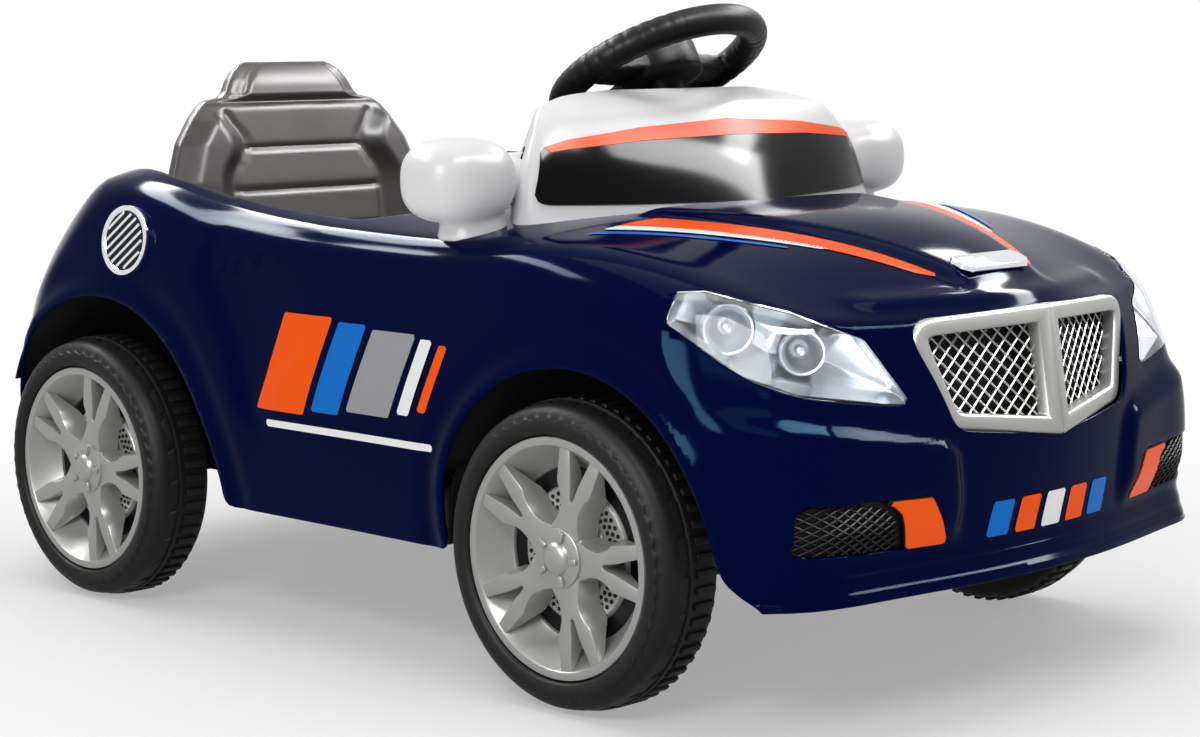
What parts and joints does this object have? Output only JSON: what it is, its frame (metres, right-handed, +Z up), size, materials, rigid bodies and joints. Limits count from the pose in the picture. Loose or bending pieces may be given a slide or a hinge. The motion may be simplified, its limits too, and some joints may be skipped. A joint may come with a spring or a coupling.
{
  "type": "electric ride-on car",
  "caption": "Child's electric ride-on car with glossy moulded body, low windscreen cowl, mirror pods, bucket seat, steered front wheels and a geared rear wheel.",
  "frame": {"origin": "on the ground under the middle of the car's length and width", "axes": "+X to the front of the car, +Y to its left, +Z up"},
  "size_m": [1.0369, 0.59, 0.5282],
  "materials": {
    "body_paint": "high gloss",
    "white_plastic": "gloss",
    "screen_black": "high gloss",
    "seat_plastic": "fine grain",
    "black_plastic": "satin",
    "tyre_plastic": "matt",
    "trim_plastic": "satin",
    "lens_clear": "clear gloss",
    "chromed": "plated, mirror gloss",
    "silver_plastic": "satin",
    "accent_orange": "gloss",
    "lamp_red": "gloss",
    "mirror_plate": "plated, mirror gloss",
    "steel": "zinc plated",
    "gear_nylon": "natural",
    "battery_case": "matt",
    "cable": "matt"
  },
  "bodies": {
    "car": {"body_shell": "body_paint", "windscreen_cowl": "white_plastic", "windscreen_panel": "screen_black", "dashboard_panel": "black_plastic", "mirror_left": "white_plastic", "mirror_right": "white_plastic", "mirror_plates": "mirror_plate", "headlamp_bowls": "chromed", "headlamp_lenses": "lens_clear", "fog_grilles": "black_plastic", "fog_accents": "accent_orange", "tail_lamps": "lamp_red", "grille_frame": "silver_plastic", "grille_mesh": "silver_plastic", "hood_badge": "chromed", "filler_cap": "chromed", "seat": "seat_plastic", "chassis_tray": "black_plastic", "kingpins": "steel", "rear_axle": "steel", "axle_nuts": "steel", "axle_spacers": "steel", "column_bush": "black_plastic", "battery": "battery_case", "battery_strap": "black_plastic", "control_box": "black_plastic", "wiring_loom": "cable", "motor": "steel", "gearbox_case": "black_plastic", "gearbox_cover": "black_plastic", "charging_socket": "black_plastic", "body_screws": "steel"},
    "steering": {"steering_wheel": "black_plastic", "steering_column": "steel"},
    "horn": {"horn_button": "black_plastic"},
    "tie_rod": {"tie_rod": "steel"},
    "knuckle_right": {"knuckle_right": "steel", "stub_axle_right": "steel"},
    "knuckle_left": {"knuckle_left": "steel", "stub_axle_left": "steel"},
    "layshaft": {"reduction_gear": "gear_nylon"},
    "pinion": {"motor_pinion": "steel"},
    "pedal": {"pedal": "black_plastic"},
    "lever": {"direction_lever": "black_plastic"},
    "power": {"power_button": "lamp_red"},
    "wheel_front_right": {"tyre_front_right": "tyre_plastic", "wheel_trim_front_right": "trim_plastic", "hub_cap_front_right": "trim_plastic"},
    "wheel_front_left": {"tyre_front_left": "tyre_plastic", "wheel_trim_front_left": "trim_plastic", "hub_cap_front_left": "trim_plastic"},
    "wheel_rear_right": {"tyre_rear_right": "tyre_plastic", "wheel_trim_rear_right": "trim_plastic", "hub_cap_rear_right": "trim_plastic"},
    "wheel_rear_left": {"tyre_rear_left": "tyre_plastic", "wheel_trim_rear_left": "trim_plastic", "hub_cap_rear_left": "trim_plastic", "drive_gear": "gear_nylon"}
  },
  "joints": [
    {"name": "steering_turn", "type": "hinge", "parent": "car", "child": "steering", "pos_m": [0.103, 0, 0.474], "axis": [-0.4818, 0, 0.8763], "range_deg": [-50, 50]},
    {"name": "tie_rod_slide", "type": "slide", "parent": "car", "child": "tie_rod", "axis": [0, 1, 0], "range_m": [-0.0262, 0.0262]},
    {"name": "horn_press", "type": "slide", "parent": "steering", "child": "horn", "axis": [0.4818, 0, -0.8763], "range_m": [0, 0.0025], "stiffness_N_per_m": 600, "springref_m": -0.001},
    {"name": "pedal_press", "type": "hinge", "parent": "car", "child": "pedal", "pos_m": [0.066, -0.078, 0.122], "axis": [0, 1, 0], "range_deg": [0, 12], "stiffness_Nm_per_rad": 1.2, "springref_deg": -5.73},
    {"name": "lever_shift", "type": "hinge", "parent": "car", "child": "lever", "pos_m": [0.102, -0.112, 0.392], "axis": [0, 1, 0], "range_deg": [-15, 15]},
    {"name": "power_press", "type": "slide", "parent": "car", "child": "power", "axis": [1, 0, 0], "range_m": [0, 0.003], "stiffness_N_per_m": 600, "springref_m": -0.001},
    {"name": "layshaft_spin", "type": "hinge", "parent": "car", "child": "layshaft", "pos_m": [-0.28019, 0.21, 0.1424], "axis": [0, 1, 0], "continuous": true},
    {"name": "pinion_spin", "type": "hinge", "parent": "car", "child": "pinion", "pos_m": [-0.26219, 0.2, 0.17358], "axis": [0, 1, 0], "continuous": true},
    {"name": "knuckle_right_swing", "type": "hinge", "parent": "car", "child": "knuckle_right", "pos_m": [0.265, -0.2, 0.118], "axis": [0, 0, 1], "range_deg": [-21.6, 21.6]},
    {"name": "knuckle_left_swing", "type": "hinge", "parent": "car", "child": "knuckle_left", "pos_m": [0.265, 0.2, 0.118], "axis": [0, 0, 1], "range_deg": [-21.6, 21.6]},
    {"name": "front_right_wheel_spin", "type": "hinge", "parent": "knuckle_right", "child": "wheel_front_right", "pos_m": [0.265, -0.265, 0.118], "axis": [0, 1, 0], "continuous": true},
    {"name": "front_left_wheel_spin", "type": "hinge", "parent": "knuckle_left", "child": "wheel_front_left", "pos_m": [0.265, 0.265, 0.118], "axis": [0, 1, 0], "continuous": true},
    {"name": "rear_right_wheel_spin", "type": "hinge", "parent": "car", "child": "wheel_rear_right", "pos_m": [-0.335, -0.265, 0.118], "axis": [0, 1, 0], "continuous": true},
    {"name": "rear_left_wheel_spin", "type": "hinge", "parent": "car", "child": "wheel_rear_left", "pos_m": [-0.335, 0.265, 0.118], "axis": [0, 1, 0], "continuous": true}
  ],
  "couplings": [
    {"joint": "tie_rod_slide", "follows": "steering_turn", "m_per_rad": 0.02985},
    {"joint": "knuckle_right_swing", "follows": "steering_turn", "ratio": 0.43},
    {"joint": "knuckle_left_swing", "follows": "steering_turn", "ratio": 0.43},
    {"joint": "layshaft_spin", "follows": "rear_left_wheel_spin", "ratio": -3},
    {"joint": "pinion_spin", "follows": "rear_left_wheel_spin", "ratio": 9}
  ]
}
